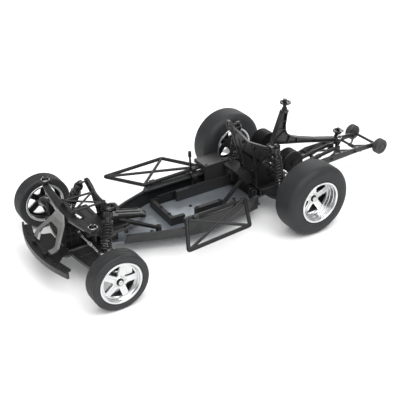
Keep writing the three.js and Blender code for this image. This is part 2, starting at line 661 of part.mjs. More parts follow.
add('chassis_plate', chassisPlate(), alloyPlate());
addPair('side_guard', sideGuard(), plastic);
addPair('side_frame', sideFrame(), plastic);
add('front_bumper', frontBumper(), plastic());
add('front_brace', frontBrace(), greyBrace());
add('front_body_crossbar', frontBodyCrossbar(), plastic());
add('front_bulkhead', frontBulkhead(), plastic());
add('front_shock_tower', frontShockTower(), plastic());
add('electronics_tray', electronicsTray(), plastic());
add('rear_deck', rearDeck(), plastic());
add('gearbox', gearbox(), plastic());
add('gear_cover', gearCover(), plastic());
add('rear_shock_tower', rearShockTower(), plastic());
add('rear_body_mount', rearBodyMount(), plastic());
add('wheelie_bar', wheelieBar(), plastic());
addPair('wheelie_wheel', wheelieWheel(), rubber);

addPair('front_tyre', tyre(FRONT_WHEEL, FRONT_WHEEL_Y, 3.5), rubber);
addPair('front_rim', rim(FRONT_WHEEL, 0, FRONT_WHEEL_Y, FRONT_WHEEL.axle + 0.5), chrome);
addPair('rear_tyre', tyre(REAR_WHEEL, REAR_WHEEL_Y, 8), rubber);
addPair('rear_rim', rearRim(), chrome);

addPair('front_arm', lowerArm(FRONT_ARM, -26, 22, 0, FRONT_SHOCK.bottom), plastic);
addPair('front_carrier', frontCarrier(), plastic);
addPair('front_knuckle', frontKnuckle(), plastic);
addPair('front_camber_link', link([6, 22, 62], [4, 90, 62]), steel);
addPair('tie_rod', tieRod(), steel);
addPair('steering_crank', steeringCrank(), plastic);
add('steering_rack', steeringRack(), plastic());
addPair('front_shock_body', shockBody(FRONT_SHOCK), plastic);
addPair('front_shock_shaft', shockShaft(FRONT_SHOCK), steel);
addPair('front_spring', spring(FRONT_SHOCK), springSteel);

addPair('rear_arm', lowerArm(REAR_ARM, REAR_X - 24, REAR_X + 28, REAR_X, REAR_SHOCK.bottom), plastic);
addPair('rear_hub', rearHub(), plastic);
addPair('rear_camber_link', link([REAR_X + 10, 24, 76], [REAR_X + 4, 86, 76]), steel);
addPair('driveshaft', driveshaft(), steel);
addPair('rear_shock_body', shockBody(REAR_SHOCK), plastic);
addPair('rear_shock_shaft', shockShaft(REAR_SHOCK), steel);
addPair('rear_spring', spring(REAR_SHOCK), springSteel);

export default car;
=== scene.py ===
"""Looks of a 1/10 two-wheel-drive drag car chassis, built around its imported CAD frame.

Metres, +Z up, +X towards the nose, +Y to the car's left. Places inside the car are given in
millimetres from the front axle, as at(x, y, z), because that is how the car is laid out.
"""
import json
import math

import bmesh
import bpy
from mathutils import Matrix, Vector

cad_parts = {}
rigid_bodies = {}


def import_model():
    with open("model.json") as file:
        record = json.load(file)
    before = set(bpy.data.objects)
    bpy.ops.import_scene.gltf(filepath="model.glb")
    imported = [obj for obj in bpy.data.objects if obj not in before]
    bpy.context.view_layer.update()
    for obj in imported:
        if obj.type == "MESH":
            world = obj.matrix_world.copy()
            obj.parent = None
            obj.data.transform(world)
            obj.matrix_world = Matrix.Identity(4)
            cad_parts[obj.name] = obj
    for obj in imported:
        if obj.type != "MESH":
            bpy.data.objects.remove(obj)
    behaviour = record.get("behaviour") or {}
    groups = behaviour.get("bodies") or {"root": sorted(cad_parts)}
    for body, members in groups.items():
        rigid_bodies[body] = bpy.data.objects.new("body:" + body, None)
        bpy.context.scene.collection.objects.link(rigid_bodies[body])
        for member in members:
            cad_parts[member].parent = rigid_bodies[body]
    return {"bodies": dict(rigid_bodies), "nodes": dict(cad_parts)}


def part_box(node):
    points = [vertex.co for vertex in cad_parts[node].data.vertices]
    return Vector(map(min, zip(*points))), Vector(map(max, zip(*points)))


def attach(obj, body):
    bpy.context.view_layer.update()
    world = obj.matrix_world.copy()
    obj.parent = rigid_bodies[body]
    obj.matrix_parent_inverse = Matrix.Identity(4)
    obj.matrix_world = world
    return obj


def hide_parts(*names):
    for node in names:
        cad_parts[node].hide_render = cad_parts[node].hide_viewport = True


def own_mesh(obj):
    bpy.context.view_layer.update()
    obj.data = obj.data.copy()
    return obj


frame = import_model()
bpy.context.view_layer.update()

MM = 0.001
UP, FRONT, LEFT = Vector((0, 0, 1)), Vector((1, 0, 0)), Vector((0, 1, 0))
SIDES = {"left": 1, "right": -1}


def box_centre(node):
    low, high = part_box(node)
    return (low + high) / 2


AXLE_X = box_centre("front_tyre_left").x  # front axle, from the frame's origin
REAR_X = (box_centre("rear_tyre_left").x - AXLE_X) / MM


def at(x, y, z):
    """A place in millimetres from the front axle's middle, on the ground, in the frame's metres."""
    return Vector((AXLE_X + x * MM, y * MM, z * MM))


# ---- materials
EDGE_FROM, EDGE_FULL = 0.52, 0.60  # pointiness where the lighter edge starts and is full; that edge is partly wear and partly a painted highlight
GRAIN_DEPTH, RING_DEPTH = 0.1 * MM, 0.15 * MM


def node_tree(name):
    material = bpy.data.materials.new(name)
    material.use_nodes = True
    return material, material.node_tree.nodes, material.node_tree.links


def put(node, **values):
    """Sets a node's inputs; an underscore stands for a space in their names."""
    for name, value in values.items():
        node.inputs[name.replace("_", " ")].default_value = value


def noise(nodes, links, source, scale, detail=3.0):
    texture = nodes.new("ShaderNodeTexNoise")
    put(texture, Scale=scale, Detail=detail)
    links.new(source, texture.inputs["Vector"])
    return texture.outputs["Fac"]


def ramp(nodes, links, source, low, high):
    """Maps the source from 0..1 to low..high, each a number or a colour."""
    made = nodes.new("ShaderNodeValToRGB")
    for element, value in zip(made.color_ramp.elements, (low, high)):
        rgb = value if isinstance(value, tuple) else (value,) * 3
        element.color = (*rgb, 1)
    links.new(source, made.inputs["Fac"])
    return made


def edge_mask(nodes, links):
    """1 on outward edges and 0 on flats and hollows."""
    geometry = nodes.new("ShaderNodeNewGeometry")
    spread = nodes.new("ShaderNodeMapRange")
    put(spread, From_Min=EDGE_FROM, From_Max=EDGE_FULL)
    links.new(geometry.outputs["Pointiness"], spread.inputs["Value"])
    return spread.outputs["Result"]


def shade(colour, factor):
    return tuple(min(1.0, c * factor) for c in colour)


def surface(name, colour, roughness, metallic=0.0, mottle=0.25, grain=900.0, bump=0.25,
            wear_and_edge_highlight=0.0, specular=0.5, patch=70.0, rough_spread=0.10):
    """A moulded or rolled surface: mottled colour, uneven gloss, fine grain and lighter edges,
    partly wear and partly a painted highlight.
    """
    material, nodes, links = node_tree(name)
    shader = nodes["Principled BSDF"]
    put(shader, Metallic=metallic, Specular_IOR_Level=specular)
    place = nodes.new("ShaderNodeTexCoord").outputs["Object"]
    patches = noise(nodes, links, place, patch)
    grains = noise(nodes, links, place, grain, detail=2.0)
    tint = ramp(nodes, links, patches, shade(colour, 1 - mottle), shade(colour, 1 + mottle))
    tint.color_ramp.elements[0].position = 0.3
    tint.color_ramp.elements[1].position = 0.7
    colour_out = tint.outputs["Color"]
    # Lighter outward edges: partly rubbed wear, partly a painted highlight along the edges.
    if wear_and_edge_highlight > 0:
        mix = nodes.new("ShaderNodeMix")
        mix.data_type = "RGBA"
        put(mix, B=(*(min(1.0, c + wear_and_edge_highlight) for c in colour), 1))
        links.new(edge_mask(nodes, links), mix.inputs["Factor"])
        links.new(colour_out, mix.inputs["A"])
        colour_out = mix.outputs["Result"]
    links.new(colour_out, shader.inputs["Base Color"])
    gloss = ramp(nodes, links, grains, roughness - rough_spread, roughness + rough_spread)
    links.new(gloss.outputs["Color"], shader.inputs["Roughness"])
    relief = nodes.new("ShaderNodeBump")
    put(relief, Strength=bump, Distance=GRAIN_DEPTH)
    links.new(grains, relief.inputs["Height"])
    links.new(relief.outputs["Normal"], shader.inputs["Normal"])
    return material


def ringed(name, colour, roughness, ring_scale, strength=0.3, **more):
    """A surface with fine rings round the Y axis, as a moulded tyre has."""
    material = surface(name, colour, roughness, **more)
    nodes, links = material.node_tree.nodes, material.node_tree.links
    wave = nodes.new("ShaderNodeTexWave")
    wave.wave_type = "RINGS"
    wave.rings_direction = "Y"
    put(wave, Scale=ring_scale, Distortion=0.4)
    links.new(nodes.new("ShaderNodeTexCoord").outputs["Object"], wave.inputs["Vector"])
    fine = next(n for n in nodes if n.type == "BUMP")
    rings = nodes.new("ShaderNodeBump")
    put(rings, Strength=strength, Distance=RING_DEPTH)
    links.new(wave.outputs["Fac"], rings.inputs["Height"])
    links.new(fine.outputs["Normal"], rings.inputs["Normal"])
    links.new(rings.outputs["Normal"], nodes["Principled BSDF"].inputs["Normal"])
    return material


BLACK = surface("moulded_black", (0.0065, 0.0065, 0.0068), 0.36, wear_and_edge_highlight=0.022, specular=0.45)
BLACK_MATT = surface("moulded_black_matt", (0.0062, 0.0062, 0.0066), 0.46, wear_and_edge_highlight=0.02, specular=0.24)
DULL = surface("dull_black", (0.0042, 0.0042, 0.0045), 0.55, wear_and_edge_highlight=0.012, specular=0.14)
GUARD = surface("guard_black", (0.0085, 0.0092, 0.0102), 0.40, wear_and_edge_highlight=0.03, specular=0.34, patch=30.0)
FLOOR = surface("floor_alloy", (0.200, 0.220, 0.241), 0.34, metallic=0.6, patch=18.0, mottle=0.3,
                grain=1500.0, bump=0.12)
BRACE = surface("brace_grey", (0.155, 0.155, 0.15), 0.42, metallic=0.4, wear_and_edge_highlight=0.10, mottle=0.2)
SLICK = ringed("slick_rubber", (0.0185, 0.0195, 0.021), 0.60, ring_scale=130.0, strength=0.12,
               mottle=0.2, patch=45.0, grain=1300.0, bump=0.35, specular=0.35)
RIBBED = ringed("ribbed_rubber", (0.021, 0.0215, 0.023), 0.56, ring_scale=180.0, strength=0.15,
                mottle=0.2, patch=60.0, grain=1300.0, bump=0.35, specular=0.4)
ROLLER = ringed("roller_rubber", (0.030, 0.030, 0.030), 0.6, ring_scale=300.0, strength=0.25)
CHROME = surface("plated_rim", (0.66, 0.665, 0.67), 0.30, metallic=1.0, mottle=0.05, bump=0.05,
                 rough_spread=0.05)
STEEL = surface("bright_steel", (0.62, 0.62, 0.61), 0.24, metallic=1.0, mottle=0.08, bump=0.08)
DARK_STEEL = surface("dark_steel", (0.06, 0.06, 0.062), 0.30, metallic=0.9, mottle=0.15)
SCREW = surface("screw_black", (0.035, 0.035, 0.036), 0.24, metallic=0.9, mottle=0.1, bump=0.05)
SPRING = surface("spring_wire", (0.03, 0.03, 0.032), 0.26, metallic=0.7, mottle=0.1)
SHOCK = surface("shock_black", (0.0075, 0.0075, 0.008), 0.24, wear_and_edge_highlight=0.03, specular=0.6)


# ---- mesh building
class Shape:
    """Collects closed shells, in metres, that become one piece."""

    def __init__(self):
        self.verts = []
        self.faces = []

    def add(self, verts, faces):
        start = len(self.verts)
        self.verts.extend(Vector(v) for v in verts)
        self.faces.extend([start + i for i in face] for face in faces)
        return self

    def turned(self, matrix):
        """A copy moved by a matrix; a mirror turns the faces over, to keep them facing out."""
        copy = Shape()
        copy.verts = [matrix @ v for v in self.verts]
        inside_out = matrix.determinant() < 0
        copy.faces = [list(reversed(f)) if inside_out else list(f) for f in self.faces]
        return copy

    def join(self, *others):
        for other in others:
            self.add(other.verts, other.faces)
        return self

    def mirrored(self):
        return self.turned(Matrix.Diagonal((1, -1, 1, 1)))


def ring_faces(rows, count, closed_loop=False):
    """Quads over rows of `count` points each, with end caps unless the rows close in a loop."""
    faces = []
    steps = rows if closed_loop else rows - 1
    for i in range(steps):
        for k in range(count):
            a, b = i * count + k, i * count + (k + 1) % count
            c, d = ((i + 1) % rows) * count + (k + 1) % count, ((i + 1) % rows) * count + k
            faces.append([a, b, c, d])
    if not closed_loop:
        faces.append(list(reversed(range(count))))
        faces.append([(rows - 1) * count + k for k in range(count)])
    return faces


def frame_along(direction, hint=UP):
    """Two directions square to the given one."""
    z = direction.normalized()
    if abs(z.dot(hint)) > 0.98:
        hint = LEFT if abs(z.y) < 0.9 else FRONT
    x = hint.cross(z).normalized()
    return x, z.cross(x)


def circle(sides):
    turns = (2 * math.pi * k / sides for k in range(sides))
    return [(math.cos(turn), math.sin(turn)) for turn in turns]


def lathe(profile, centre, axis=LEFT, sides=32, closed=False):
    """Turns (radius, along) pairs in millimetres about an axis. A closed profile makes a ring."""
    direction = Vector(axis).normalized()
    u, v = frame_along(direction)
    verts = [centre + direction * (h * MM) + (u * c + v * s) * (r * MM)
             for r, h in profile for c, s in circle(sides)]
    return Shape().add(verts, ring_faces(len(profile), sides, closed_loop=closed))


def tube(points, radius, sides=10, section=None, closed=False, hint=UP):
    """A bar along points in metres, round or with a `section` of (u, v) pairs times the radius."""
    outline = section or circle(sides)
    count = len(points)
    verts = []
    for i, point in enumerate(points):
        before = points[i - 1] if i or closed else point
        after = points[(i + 1) % count] if i + 1 < count or closed else point
        u, v = frame_along(after - before, hint)
        verts += [point + (u * a + v * b) * (radius * MM) for a, b in outline]
    return Shape().add(verts, ring_faces(count, len(outline), closed_loop=closed))


def rounded_section(width, height, corner=0.3):
    """A rounded rectangle of half sizes width and height, for a bar's section."""
    points = []
    for quarter, (sx, sy) in enumerate(((1, 1), (-1, 1), (-1, -1), (1, -1))):
        for angle in (math.pi / 2 * (quarter + k / 3) for k in range(4)):
            points.append((sx * (width - corner) + corner * math.cos(angle),
                           sy * (height - corner) + corner * math.sin(angle)))
    return points


def block(low, high):
    """A box between two corners in millimetres from the front axle."""
    (x0, y0, z0), (x1, y1, z1) = low, high
    corners = [at(x, y, z) for z in (z0, z1) for x, y in ((x0, y0), (x1, y0), (x1, y1), (x0, y1))]
    return Shape().add(corners, ring_faces(2, 4))


def plate(outline, low, high, plane="xy", holes=()):
    """A flat plate with holes: outlines in millimetres in one plane, solid from low to high."""
    curve = bpy.data.curves.new("outline", "CURVE")
    curve.dimensions = "2D"
    curve.fill_mode = "BOTH"
    curve.extrude = abs(high - low) / 2 * MM
    for ring in (outline, *holes):
        spline = curve.splines.new("POLY")
        spline.points.add(len(ring) - 1)
        for point, (u, v) in zip(spline.points, ring):
            point.co = (u * MM, v * MM, 0, 1)
        spline.use_cyclic_u = True
    maker = bpy.data.objects.new("outline", curve)
    mesh = bpy.data.meshes.new_from_object(maker)
    turn = {"xy": Matrix((FRONT, LEFT, UP)), "yz": Matrix((UP, FRONT, LEFT)),
            "xz": Matrix((FRONT, -UP, LEFT))}[plane].to_4x4()
    middle = (low + high) / 2
    offset = {"xy": (0, 0, middle), "yz": (middle, 0, 0), "xz": (0, middle, 0)}[plane]
    place = Matrix.Translation(at(*offset)) @ turn
    shape = Shape().add([place @ v.co for v in mesh.vertices],
                        [list(p.vertices) for p in mesh.polygons])
    bpy.data.objects.remove(maker)
    bpy.data.curves.remove(curve)
    bpy.data.meshes.remove(mesh)
    return shape


def arc(radius, start, end, steps, centre=(0, 0)):
    """Points on an arc, angles in degrees."""
    return [(centre[0] + radius * math.cos(math.radians(start + (end - start) * k / steps)),
             centre[1] + radius * math.sin(math.radians(start + (end - start) * k / steps)))
            for k in range(steps + 1)]


def inset(ring, distance):
    """An outline moved inwards by a distance."""
    area = sum(p[0] * q[1] - q[0] * p[1] for p, q in zip(ring, ring[1:] + ring[:1]))
    turn = 1 if area > 0 else -1
    made = []
    for i, (x, y) in enumerate(ring):
        (px, py), (nx, ny) = ring[i - 1], ring[(i + 1) % len(ring)]
        before = Vector((x - px, y - py)).normalized()
        after = Vector((nx - x, ny - y)).normalized()
        square = Vector((-after.y, after.x)) * turn
        middle = (Vector((-before.y, before.x)) * turn + square).normalized()
        reach = distance / max(0.35, middle.dot(square))
        made.append((x + middle.x * reach, y + middle.y * reach))
    return made


def framed_plate(outline, low, high, plane, rim=1.8, web=1.6, holes=()):
    """A moulded plate: a thin web inside a raised rim."""
    middle = (low + high) / 2
    border = plate(outline, low, high, plane, holes=[inset(outline, rim)])
    core = plate(inset(outline, rim / 2), middle - web / 2, middle + web / 2, plane, holes=holes)
    return border.join(core)


def symmetric(half):
    """Completes an outline by mirroring `half`, which starts and ends on the centre line."""
    return half + [(-u, v) for u, v in reversed(half) if u > 0]


def toothed(radius, depth, teeth, centre=(0, 0)):
    """A knurled or toothed outline."""
    return [point for k in range(teeth) for point in (
        arc(radius, 360 * k / teeth, 360 * (k + 0.42) / teeth, 1, centre)
        + arc(radius - depth, 360 * (k + 0.55) / teeth, 360 * (k + 0.87) / teeth, 1, centre))]


def hexagon(radius):
    return [(radius * u, radius * v) for u, v in circle(6)]


def prism(outline, centre, axis, low, high):
    """An outline in millimetres, square to an axis, drawn out along it."""
    direction = Vector(axis).normalized()
    u, v = frame_along(direction)
    verts = [centre + direction * (h * MM) + (u * a + v * b) * MM
             for h in (low, high) for a, b in outline]
    return Shape().add(verts, ring_faces(2, len(outline)))


def rounded_path(corners, fillet):
    """A closed path in metres whose corners are rounded; the fillet is in millimetres."""
    points = []
    for i, corner in enumerate(corners):
        start = corner + (corners[i - 1] - corner).normalized() * fillet * MM
        end = corner + (corners[(i + 1) % len(corners)] - corner).normalized() * fillet * MM
        points += [start * (1 - t) ** 2 + corner * 2 * t * (1 - t) + end * t ** 2
                   for t in (k / 5 for k in range(6))]
    return points


def bar(start, end, radius, sides=12):
    return tube([at(*start), at(*end)], radius, sides)


def slat(start, end, width, height, corner=0.4, hint=UP):
    """A straight rectangular bar of half sizes width and height."""
    section = rounded_section(width, height, corner)
    return tube([at(*start), at(*end)], 1.0, section=section, hint=hint)


def torus(centre, axis, radius, wire):
    section = [(radius + wire * c, wire * s) for c, s in circle(8)]
    return lathe(section, centre, axis, 40, closed=True)


def ball(centre, radius, axis):
    return lathe([(max(0.06, radius * math.sin(t)), -radius * math.cos(t))
                  for t in (math.pi * k / 10 for k in range(11))], centre, axis, 20)


SOCKET = 1.08  # how much wider a screw's hexagon is than its circle


def screw(place, axis=UP, head=2.7, high=1.5):
    """A button-head screw with a hexagon socket. `place` is in millimetres, on the surface."""
    centre, direction = at(*place), Vector(axis).normalized()
    u, v = frame_along(direction)
    rows = [(head * 0.95, -0.5, False), (head, 0.25, False), (head * 0.9, high * 0.7, False),
            (head * 0.62, high, False), (head * 0.42, high, True), (head * 0.42, high * 0.3, True)]
    verts = []
    for radius, height, six_sided in rows:
        for degrees in range(0, 360, 20):
            angle = math.radians(degrees)
            spoke = (u * math.cos(angle) + v * math.sin(angle)) * radius
            if six_sided:
                lean = math.radians(degrees % 60 - 30)
                spoke = spoke * (math.cos(math.radians(30)) / math.cos(lean)) * SOCKET
            verts.append(centre + direction * height * MM + spoke * MM)
    return Shape().add(verts, ring_faces(len(rows), 18))


def gathered(*shapes):
    return Shape().join(*shapes)


def mirror_y(point, sign):
    return point[0], point[1] * sign, point[2]


def both(*shapes):
    """Shapes with their mirror images on the car's other side."""
    return gathered(*shapes, gathered(*shapes).mirrored())


def soften(piece, bevel, angle=30):
    """Rounds a piece's sharp edges and shades it evenly."""
    weld = piece.modifiers.new("weld", "WELD")
    weld.merge_threshold = 0.002 * MM
    if bevel > 0:
        rounding = piece.modifiers.new("bevel", "BEVEL")
        rounding.width = bevel * MM
        rounding.segments = 2
        rounding.limit_method = "ANGLE"
        rounding.angle_limit = math.radians(angle)
    even = piece.modifiers.new("normals", "WEIGHTED_NORMAL")
    even.keep_sharp = True


def finish_piece(name, shape, material, replaces=(), body="chassis", bevel=0.3, sharp=30,
                 origin=None):
    """Makes one piece of the visual model out of a shape and lets it ride on its body."""
    mesh = bpy.data.meshes.new(name)
    origin = origin or Vector((0, 0, 0))
    mesh.from_pydata([v - origin for v in shape.verts], [], shape.faces)
    clean = bmesh.new()
    clean.from_mesh(mesh)
    bmesh.ops.remove_doubles(clean, verts=clean.verts, dist=0.001 * MM)
    bmesh.ops.recalc_face_normals(clean, faces=clean.faces)
    clean.to_mesh(mesh)
    clean.free()
    mesh.shade_smooth()
    mesh.set_sharp_from_angle(angle=math.radians(sharp + 15))
    piece = bpy.data.objects.new(name, mesh)
    piece.location = origin
    bpy.context.scene.collection.objects.link(piece)
    piece.data.materials.append(material)
    if bevel is not None:
        soften(piece, bevel, sharp)
    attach(piece, body)
    if replaces:
        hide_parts(*replaces)
    return piece


def pair(name, shape_of_left, material, body, replaces=(), **more):
    """The same piece on both sides. Names in `body` and `replaces` are without their side."""
    for side, sign in SIDES.items():
        shape = shape_of_left if sign > 0 else shape_of_left.mirrored()
        rides = body if body in frame["bodies"] else f"{body}_{side}"
        options = dict(more)
        if "origin" in more:
            options["origin"] = Vector(mirror_y(more["origin"], sign))
        finish_piece(f"{name}_{side}", shape, material, [f"{node}_{side}" for node in replaces],
                     rides, **options)


# ---- wheels
SPOKES = 5
SPOKE_STEP = 360 / SPOKES
TYRE_SIDES = 96


def other_side(profile):
    """A lathe profile's mirror image across the wheel's middle plane, run backwards."""
    return [(r, -h) for r, h in reversed(profile)]


def front_tyre(radius, bead):
    """A ribbed tyre's outer half section and its hollow, as (radius, share of the half width)."""
    outer = [(bead - 0.6, 0.82), (bead + 1.2, 0.86), (bead + 2.2, 0.93), (bead + 2.6, 0.975),
             (bead + 4.2, 0.985), (bead + 4.6, 0.965), (bead + 7.5, 0.99), (radius - 2.6, 0.985),
             (radius - 1.2, 0.93), (radius - 0.35, 0.85), (radius - 0.1, 0.80)]
    groove = radius - 0.9
    outer += [(radius - 0.05, 0.66), (groove, 0.63)]
    for start, end in ((0.55, 0.36), (0.28, 0.05)):
        outer += [(groove, start + 0.02), (radius, start - 0.015), (radius, end + 0.015),
                  (groove, end - 0.02)]
    return outer, [(bead - 0.6, -0.66), (radius - 4.5, -0.8), (radius - 3.6, 0),
                   (radius - 4.5, 0.8), (bead - 0.6, 0.66)]


def rear_tyre(radius, bead):
    """The same of a slick with round shoulders and a stepped wall."""
    shoulder = [(radius - 12 * (1 - math.sin(t)), 0.42 + 0.56 * math.cos(t) ** 0.85)
                for t in (math.radians(a) for a in range(0, 90, 9))]
    wall = [(bead - 0.6, 0.85), (bead + 1, 0.89), (bead + 2, 0.955), (bead + 2.6, 0.985),
            (bead + 4, 0.99), (bead + 4.5, 0.972), (bead + 6.6, 0.985), (bead + 7, 0.995),
            (bead + 7.6, 0.995), (bead + 8, 0.985)]
    crown = [(radius - 0.1, 0.30), (radius, 0.12)]
    return wall + shoulder + crown, [
        (bead - 0.6, -0.7), (radius - 12, -0.84), (radius - 5, -0.4), (radius - 4, 0),
        (radius - 5, 0.4), (radius - 12, 0.84), (bead - 0.6, 0.7)]


def star_disc(centre, look, thickness, face, hub_holes):
    """A five-spoke disc: wedge windows whose wide side is an arc along the barrel."""
    holes, lugs = [], []
    for i in range(SPOKES):
        middle = look["phase"] + SPOKE_STEP * i
        holes.append(arc(10.2, middle - 9, middle + 9, 2)[::-1]
                     + arc(look["rim"] - 6.2, middle - 25, middle + 25, 8))
        if hub_holes:
            spoke = middle + SPOKE_STEP / 2
            lugs.append(arc(1.1, 0, 315, 7, centre=arc(14, spoke, spoke, 1)[0]))
    disc = plate(arc(look["rim"] - 3.4, 0, 352.5, 47), 0, thickness, plane="xz", holes=holes + lugs)
    shift = centre - at(0, 0, 0) + Vector((0, (face - thickness) * MM, 0))
    return disc.turned(Matrix.Translation(shift))


def wheel_nut(centre, out):
    """The axle's hexagon nut and the axle's tip, facing out along +Y."""
    nut = lathe([(3.6, out), (3.6, out + 2.4), (3.1, out + 2.8)], centre, sides=6)
    return nut.join(lathe([(1.5, out + 2.6), (1.5, out + 3.5), (1.1, out + 3.8)], centre, sides=14))


def rim_shape(centre, half, look):
    """Barrel with lips and dish ridges (`steps`), star disc, hub boss and spoke ridges."""
    rim, disc = look["rim"], look["disc"]
    lip, barrel, face = rim + 1, rim - 1.2, disc + 3.0
    wall = barrel - 1.6
    dish = [(wall - 1.6, face - 1.5), (wall - 1.4, face + 0.8)]
    for height, inner in look["steps"]:
        dish += [(wall - inner, height), (wall - inner + 0.8, height + 0.5)]
    outer = [(wall + 0.4, half - 1.2), (wall + 1, half - 0.5), (lip - 0.6, half - 0.3),
             (lip, half - 0.8), (lip, half - 2), (barrel, half - 2.4)]
    inner = [(barrel, 2.4 - half), (lip, 2.0 - half), (lip, 0.8 - half), (lip - 0.6, 0.3 - half),
             (wall + 0.6, 0.5 - half), (wall, 2.5 - half), (wall - 0.6, disc - 2)]
    ring = lathe(dish + outer + inner, centre, sides=TYRE_SIDES, closed=True)
    boss = lathe([(8.4, -4), (8.4, face + 0.2), (7.6, face + 0.9), (6.6, face + 1),
                  (6.2, face + 0.4), (5.9, face + 0.4)], centre, sides=40)
    shape = ring.join(star_disc(centre, look, 3, face, look["holes"]), boss)
    for i in range(SPOKES):
        angle = math.radians(look["phase"] + SPOKE_STEP * (i + 0.5))
        direction = Vector((math.cos(angle), 0, math.sin(angle)))
        start = centre + direction * 8.4 * MM + Vector((0, (face - 0.2) * MM, 0))
        end = centre + direction * (rim - 5) * MM + Vector((0, (face - 0.6) * MM, 0))
        shape.join(tube([start, end], 1, section=rounded_section(1.2, 0.9), hint=LEFT))
    return shape


WHEEL_LOOKS = {
    "front": {"tyre": front_tyre, "rim": 30.4, "disc": 3.5, "phase": -73, "steps": ((8.6, 0.6),),
              "holes": False, "rubber": RIBBED},
    "rear": {"tyre": rear_tyre, "rim": 32.8, "disc": 2, "phase": -90,
             "steps": ((9.5, 1), (16.5, 0.3)), "holes": True, "rubber": SLICK},
}


def wheels():
    for end, look in WHEEL_LOOKS.items():
        low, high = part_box(f"{end}_tyre_left")
        centre = (low + high) / 2
        radius, half = (high.z - low.z) / 2 / MM, (high.y - low.y) / 2 / MM
        outer, hollow = look["tyre"](radius, look["rim"])
        section = [(r, h * half) for r, h in outer + other_side(outer) + hollow]
        disc, inside = look["disc"], look["rim"] - 3.2
        # Painted shade: a black sleeve inside the barrel, a black backing behind the star and a
        # black ring in the boss's recess round the nut darken where shade falls inside the wheel; a
        # black hub behind the disc goes with them.
        barrel_shade = [(inside, 4.5 - half), (inside, disc - 1.4), (inside - 0.5, disc - 1.4),
                 (inside - 0.5, 4.5 - half)]
        dark = gathered(lathe(barrel_shade, centre, sides=TYRE_SIDES, closed=True),
                        star_disc(centre, look, 1.2, disc - 0.05, False),
                        lathe([(9.4, disc - 7), (9.4, disc - 1)], centre, sides=40),
                        lathe([(5.6, disc + 3), (5.6, disc + 3.5)], centre, sides=32))
        body = f"{end}_wheel"
        pair(f"{end}_tyre_moulded", lathe(section, centre, sides=TYRE_SIDES, closed=True),
             look["rubber"], body, [f"{end}_tyre"], bevel=0, sharp=40, origin=centre)
        pair(f"{end}_star_rim", rim_shape(centre, half, look), CHROME, body, [f"{end}_rim"],
             bevel=0.35, origin=centre)
        pair(f"{end}_wheel_nut", wheel_nut(centre, disc + 3.6), STEEL, body, bevel=0.2,
             origin=centre)
        pair(f"{end}_rim_inside", dark, BLACK_MATT, body, bevel=0.2, origin=centre)


wheels()


# ---- shocks and springs
SHOCKS = {
    "front": {"top": (-31, 45, 100.6), "bottom": (-12, 66, 41), "collar": 19, "cup": 53, "body": 40,
              "turns": 8.5, "keep": 0.71},
    "rear": {"top": (REAR_X + 23, 50, 122), "bottom": (REAR_X + 20, 66, 41), "collar": 19,
             "cup": 69, "body": 52, "turns": 10.5, "keep": 0.82},
}
SPRING_RADIUS, WIRE = 7.2, 1.0
FLAT = 0.75  # the part of a turn that lies flat at each end


def coil(top, bottom, turns):
    """A helical spring with closed, flattened end turns."""
    along = bottom - top
    u, v = frame_along(along, LEFT)
    squeeze = WIRE * MM / along.length * 1.05
    steps = int(turns * 16)
    points = []
    for i in range(steps + 1):
        turn = turns * i / steps
        free = min(max(turn - FLAT, 0), turns - 2 * FLAT) / (turns - 2 * FLAT)
        share = (squeeze * min(turn, FLAT) / FLAT + free * (1 - 2 * squeeze)
                 + squeeze * max(0, (turn - turns + FLAT) / FLAT))
        angle = 2 * math.pi * turn
        points.append(top + along * share
                      + (u * math.cos(angle) + v * math.sin(angle)) * SPRING_RADIUS * MM)
    return tube(points, WIRE, sides=8, hint=Vector((0.3, 0.2, 1)))


def springs():
    for end, shock in SHOCKS.items():
        for side, sign in SIDES.items():
            top, bottom = at(*mirror_y(shock["top"], sign)), at(*mirror_y(shock["bottom"], sign))
            along = (bottom - top).normalized()
            start = top + along * (shock["collar"] + 1.3) * MM
            stop = top + along * (shock["cup"] - 1.3) * MM
            piece = finish_piece(f"{end}_coil_{side}", coil(start, stop, shock["turns"]), SPRING,
                                 [f"{end}_spring_{side}"], f"{end}_shock_body_{side}", bevel=None)
            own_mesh(piece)


def shock_body(shock, top, along):
    """Eye, fluted cap, threaded barrel, knurled spring collar and seal cap."""
    end = shock["body"]
    threads = []
    place = 11.6
    while place < end - 7:
        threads += [(5.55, place), (5.55, place + 0.5), (5.15, place + 0.75), (5.15, place + 1.15)]
        place += 1.4
    barrel = [(1.9, 2.5), (3.4, 2.7), (5.5, 3.2), (6, 3.8), (6, 10.4), (5.3, 11), *threads,
              (5.6, end - 6), (6, end - 5.6), (6, end - 1.2), (5.4, end - 0.2),
              (2.1, end - 0.2)]
    eye = lathe([(2.3, -2.7), (3.9, -2.7), (3.9, 2.7), (2.3, 2.7)], top, FRONT, 28, closed=True)
    cap = prism(toothed(6.9, 0.8, 12), top, along, 4.4, 10)
    collar = prism(toothed(8.1, 0.7, 18), top, along, 16, 18.4)
    seat = lathe([(5.4, 18.2), (7.9, 18.2), (7.9, 18.9), (5.4, 18.9)], top, along, 32, closed=True)
    grip = prism(toothed(6.1, 0.5, 10), top, along, end - 5, end - 1.6)
    return gathered(lathe(barrel, top, along, 32), eye, cap, collar, seat, grip)


def shock_foot(shock, top, along):
    """Spring cup and rod end at the bottom of the shaft."""
    foot, cup = along.length / MM, shock["cup"]
    dish = [(1.6, cup + 0.2), (7.4, cup + 0.1), (7.6, cup + 0.6), (7.6, cup + 1.6),
            (6.6, cup + 2.5), (3.6, cup + 3.2), (2.6, cup + 4.2), (2.4, foot - 2.4),
            (1.6, foot - 2.2)]
    eye = [(1.9, -2.6), (3.25, -2.6), (3.25, 2.6), (1.9, 2.6)]
    return lathe(dish, top, along, 32).join(lathe(eye, top + along, FRONT, 28, closed=True))


